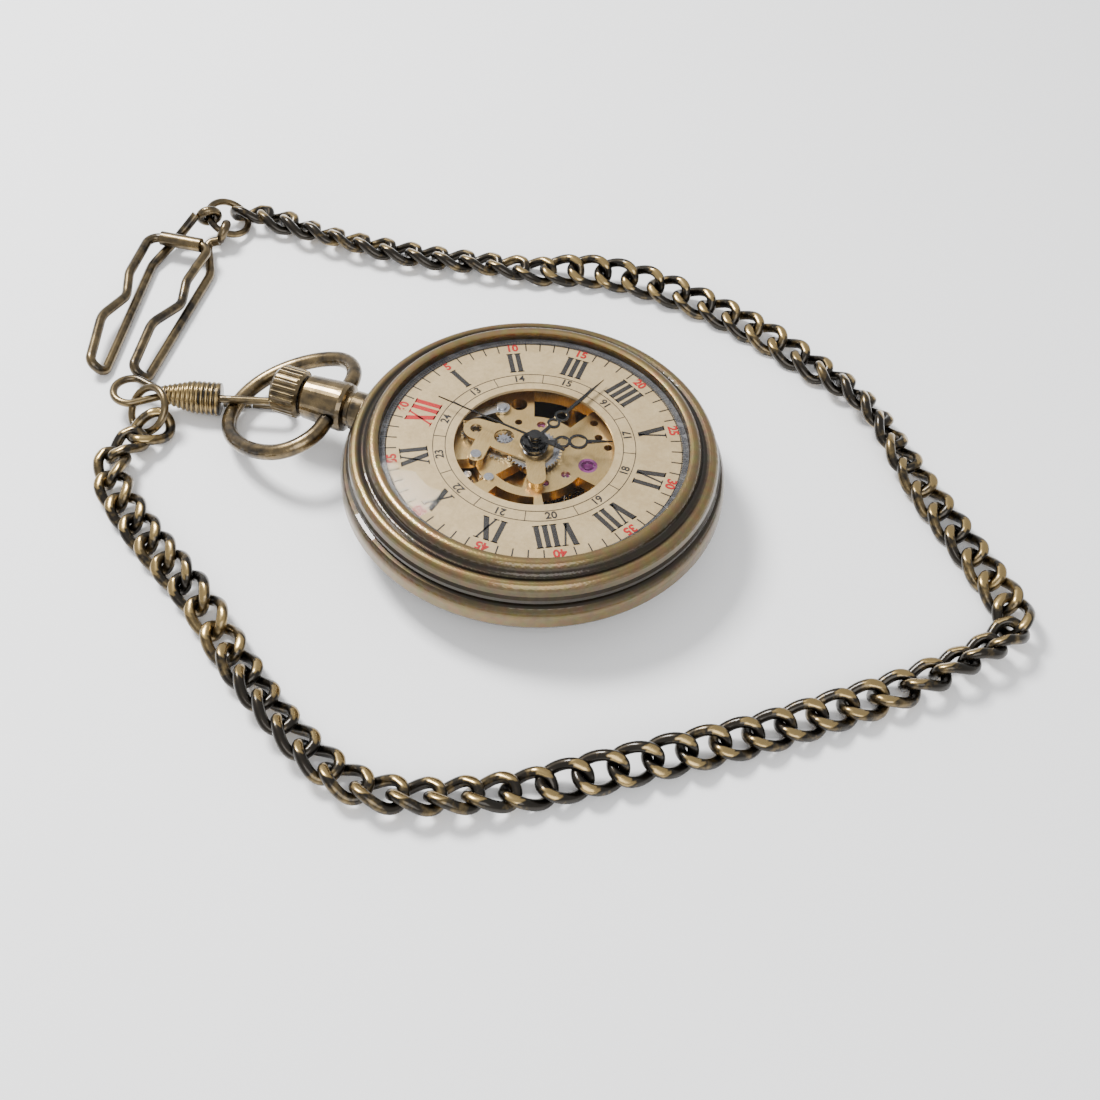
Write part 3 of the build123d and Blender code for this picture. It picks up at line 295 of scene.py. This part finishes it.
def words(name, text, degrees, r, size, inward, mat, z, bold=0.0):
    """Small digits on the dial, read from the centre or from outside."""
    curve = bpy.data.curves.new(name, "FONT")
    curve.body = text
    curve.size = size * MM
    curve.offset = bold * MM
    curve.extrude = 0.012 * MM
    curve.align_x, curve.align_y = "CENTER", "CENTER"
    temp = bpy.data.objects.new(name + "_text", curve)
    bpy.context.scene.collection.objects.link(temp)
    bpy.context.view_layer.update()
    data = bpy.data.meshes.new_from_object(temp.evaluated_get(bpy.context.evaluated_depsgraph_get()))
    bpy.data.objects.remove(temp)
    turn = -math.radians(degrees) + (math.pi if inward else 0)
    x, y = clock(degrees, r)
    data.transform(Matrix.Translation((x * MM, y * MM, z * MM)) @ Matrix.Rotation(turn, 4, "Z"))
    data.materials.clear()
    data.materials.append(MATS[mat])
    obj = bpy.data.objects.new(name, data)
    bpy.context.scene.collection.objects.link(obj)
    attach(obj, "case")
    return obj


# ---------------------------------------------------------------- dial printing
DIAL_TOP = 10.2
black, red = Print(DIAL_TOP), Print(DIAL_TOP)
for r in (18.22, 17.55):
    black.ring(r - 0.05, r + 0.05)
for r in (12.04, 10.57):
    black.ring(r - 0.045, r + 0.045)
for i in range(300):
    black.tick(i * 1.2, 17.55, 18.22, 0.045)
for i in range(60):
    if i % 5:
        black.tick(i * 6, 16.31, 18.22, 0.08)
for i in range(12):
    black.tick(i * 30 + 15, 10.57, 12.04, 0.045)
for i, text in enumerate(("XII", "I", "II", "III", "IIII", "V", "VI", "VII", "VIII", "IX", "X", "XI")):
    roman(red if i == 0 else black, text, i * 30)
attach(mesh_object("dial_print_black", black.verts, black.faces, "print_black", False), "case")
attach(mesh_object("dial_print_red", red.verts, red.faces, "print_red", False), "case")
for i in range(12):
    words(f"minute_{i}", str(i * 5 or 60), i * 30, 16.88, 1.55, False, "print_red", DIAL_TOP + 0.03, 0.05)
    hour = 24 if i == 0 else 12 + i
    words(f"hour24_{i}", str(hour), i * 30, 11.3, 1.4, 16 <= hour <= 20, "print_black", DIAL_TOP + 0.03, 0.03)

# ---------------------------------------------------------------- chain
ROUTE = [(-6.45, 47.25), (-12.4, 50.7), (-17.4, 48.6), (-21.3, 43.7), (-25.9, 36.4), (-30.3, 28.7), (-36.0, 21.4),
         (-40.6, 14.6), (-44.6, 6.8), (-45.7, 0.4), (-42.6, -8.4), (-35.6, -19.8), (-28.2, -29.4), (-20.6, -38.9),
         (-11.9, -48.6), (-5.0, -55.4), (1.2, -59.6), (5.4, -57.6), (13.0, -51.0), (22.2, -42.6), (31.6, -35.4),
         (38.0, -23.8), (42.9, -10.4), (43.6, 4.6), (39.2, 18.8), (36.2, 33.4), (35.2, 47.6), (36.9, 55.4), (35.0, 58.75)]
curve = bpy.data.curves.new("chain_route", "CURVE")
curve.dimensions = "3D"
curve.resolution_u = 24
spline = curve.splines.new("NURBS")
spline.points.add(len(ROUTE) - 1)
for point, (x, y) in zip(spline.points, ROUTE):
    point.co = (x * MM, y * MM, 1.95 * MM, 1)
spline.order_u = 3
spline.use_endpoint_u = True
route_object = bpy.data.objects.new("chain_route", curve)
bpy.context.scene.collection.objects.link(route_object)
bpy.context.view_layer.update()
evaluated = route_object.evaluated_get(bpy.context.evaluated_depsgraph_get())
line = [v.co.copy() for v in bpy.data.meshes.new_from_object(evaluated).vertices]
bpy.data.objects.remove(route_object)
gone = [0.0]
for a, b in zip(line, line[1:]):
    gone.append(gone[-1] + (b - a).length)
TOTAL = gone[-1]
print("chain route length", round(TOTAL, 5))


def on_line(s):
    s = min(max(s, 0), TOTAL - 1e-9)
    k = max(i for i in range(len(gone) - 1) if gone[i] <= s)
    a, b = line[k], line[k + 1]
    return a + (b - a) * ((s - gone[k]) / (gone[k + 1] - gone[k])), (b - a).normalized()


LINKS = 72
PITCH = TOTAL / LINKS
HALF_LONG = PITCH / 2 + 0.00065  # wire centre from the link's middle, along the chain
HALF_WIDE = 0.0018               # and across it
TWIST = 0.00072                  # how far each side rises and falls
WIRE = 0.00065                   # wire radius
FLAT = 0.00118                   # filed faces, from the link's middle plane


END_ROLL = {0: -15, LINKS - 1: 30}


def curb_link(verts, faces, wear, at, along, roll, segments=40, sides=12):
    """One twisted curb link with filed flats, added to the lists."""
    up = Vector((0, 0, 1))
    side = up.cross(along).normalized()
    turn = Matrix.Rotation(roll, 3, along)
    side, up = turn @ side, turn @ up
    first = len(verts)
    for i in range(segments):
        a = 2 * math.pi * i / segments
        c = Vector((HALF_LONG * math.cos(a), HALF_WIDE * math.sin(a), TWIST * math.sin(2 * a)))
        d = Vector((-HALF_LONG * math.sin(a), HALF_WIDE * math.cos(a), 2 * TWIST * math.cos(2 * a))).normalized()
        n1 = d.cross(Vector((0, 0, 1))).normalized()
        n2 = n1.cross(d)
        for j in range(sides):
            b = 2 * math.pi * j / sides
            p = c + (n1 * math.cos(b) + n2 * math.sin(b)) * WIRE
            cut = abs(p.z) > FLAT
            p.z = max(-FLAT, min(FLAT, p.z))
            wear.append(1.0 if cut else 0.0)
            verts.append(at + along * p.x + side * p.y + up * p.z)
    for i in range(segments):
        for j in range(sides):
            k, m = (i + 1) % segments, (j + 1) % sides
            faces.append([first + i * sides + j, first + i * sides + m, first + k * sides + m, first + k * sides + j])


def run_of_links(name, first, last, node, a, b=None):
    verts, faces, wear = [], [], []
    for i in range(first, last):
        s = (i + 0.5) * PITCH
        at, along = on_line(s)
        roll = math.radians(30 * math.sin(i * 0.31) + 12 * math.sin(i * 0.83 + 1))
        if i in END_ROLL:
            roll = math.radians(END_ROLL[i])
        rise = HALF_WIDE * abs(math.sin(roll)) + TWIST * 0.6 * math.cos(roll) + WIRE
        at = Vector((at.x, at.y, 0.00195 if i in END_ROLL else max(rise, 0.0012) + 0.00012))
        curb_link(verts, faces, wear, at, along, roll)
    obj = mesh_object(name, verts, faces, "dark_bronze", True, wear)
    if b:
        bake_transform(obj)
    else:
        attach(obj, a)
    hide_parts(node)


run_of_links("curb_near", 0, 10, "chain_near", "clasp", "bow")
run_of_links("curb_side", 10, 26, "chain_side", "bow", "case")
run_of_links("curb_main", 26, 72, "chain_main", "case")

# ---------------------------------------------------------------- ribbed sleeve
end = Vector((0.3, 40.326, 0))
along = Vector((0.31, -0.951, 0)).normalized()
low, high = end + along * -2.3 + Vector((0, 0, 2.3)), end + along * -10.1 + Vector((0, 0, 2.75))
axis = (high - low).normalized()
one = axis.orthogonal().normalized()
two = axis.cross(one)
RIB = 0.62                       # spacing of the sleeve's ribs, mm
profile = [(0.0, 0.0)]
length = (high - low).length
for i in range(161):
    s = length * i / 160
    base = 2.2 - 0.1 * s / 3.6 if s < 3.6 else 2.1 - 1.1 * (s - 3.6) / (length - 3.6)
    groove = 0.16 * (0.5 + 0.5 * math.cos(2 * math.pi * s / RIB)) if 0.3 < s < length - 0.4 else 0.1
    profile.append((s, base - groove))
profile.append((length, 0.0))
verts, faces, wear = [], [], []
for s, r in profile:
    for j in range(48):
        b = 2 * math.pi * j / 48
        verts.append((low + axis * s + (one * math.cos(b) + two * math.sin(b)) * r) * MM)
        wear.append(0.8 if r > 0.5 and s > 0 and 2 < (2 * math.pi * s / RIB) % (2 * math.pi) < 4.3 else 0.1)
for i in range(len(profile) - 1):
    for j in range(48):
        m = (j + 1) % 48
        faces.append([i * 48 + j, i * 48 + m, (i + 1) * 48 + m, (i + 1) * 48 + j])
sleeve = mesh_object("ribbed_sleeve", verts, faces, "dark_bronze", True, wear)
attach(sleeve, "clasp")
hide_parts("clasp_sleeve")

# ---------------------------------------------------------------- stage, light, camera
FLOOR_Z = -0.00002
corners = [(-1, -1, FLOOR_Z), (1, -1, FLOOR_Z), (1, 1, FLOOR_Z), (-1, 1, FLOOR_Z)]
floor = mesh_object("floor", corners, [[0, 1, 2, 3]], "floor", False)
floor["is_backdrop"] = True
world = bpy.data.worlds.new("studio")
bpy.context.scene.world = world
world.use_nodes = True
world.node_tree.nodes["Background"].inputs["Color"].default_value = (0.92, 0.93, 0.95, 1)
world.node_tree.nodes["Background"].inputs["Strength"].default_value = 0.85


def softbox(name, at, size, power):
    light = bpy.data.lights.new(name, "AREA")
    light.size = size
    light.energy = power
    obj = bpy.data.objects.new(name, light)
    obj.location = at
    obj.rotation_euler = (-Vector(at)).to_track_quat("-Z", "Y").to_euler()
    bpy.context.scene.collection.objects.link(obj)


softbox("key", (0.10, 0.25, 0.35), 0.12, 3.6)
softbox("fill", (-0.3, -0.15, 0.3), 0.3, 1.2)
cam = bpy.data.objects.new("camera", bpy.data.cameras.new("camera"))
cam.data.lens = 46.43
cam.data.sensor_width = 36
cam.data.clip_start = 0.005
right = Vector((0.34093, -0.93918, 0.04133))
up = Vector((0.71232, 0.28676, 0.64060))
back = Vector((-0.61349, -0.18896, 0.76676))
place = Matrix.Identity(4)
for i in range(3):
    place[i][0], place[i][1], place[i][2] = right[i], up[i], back[i]
place.translation = Vector((-0.11144, -0.03709, 0.13121))
cam.matrix_world = place
bpy.context.scene.collection.objects.link(cam)
bpy.context.scene.camera = cam

for label, b in (("cad", start_bounds), ("visual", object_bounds())):
    print(label, b)
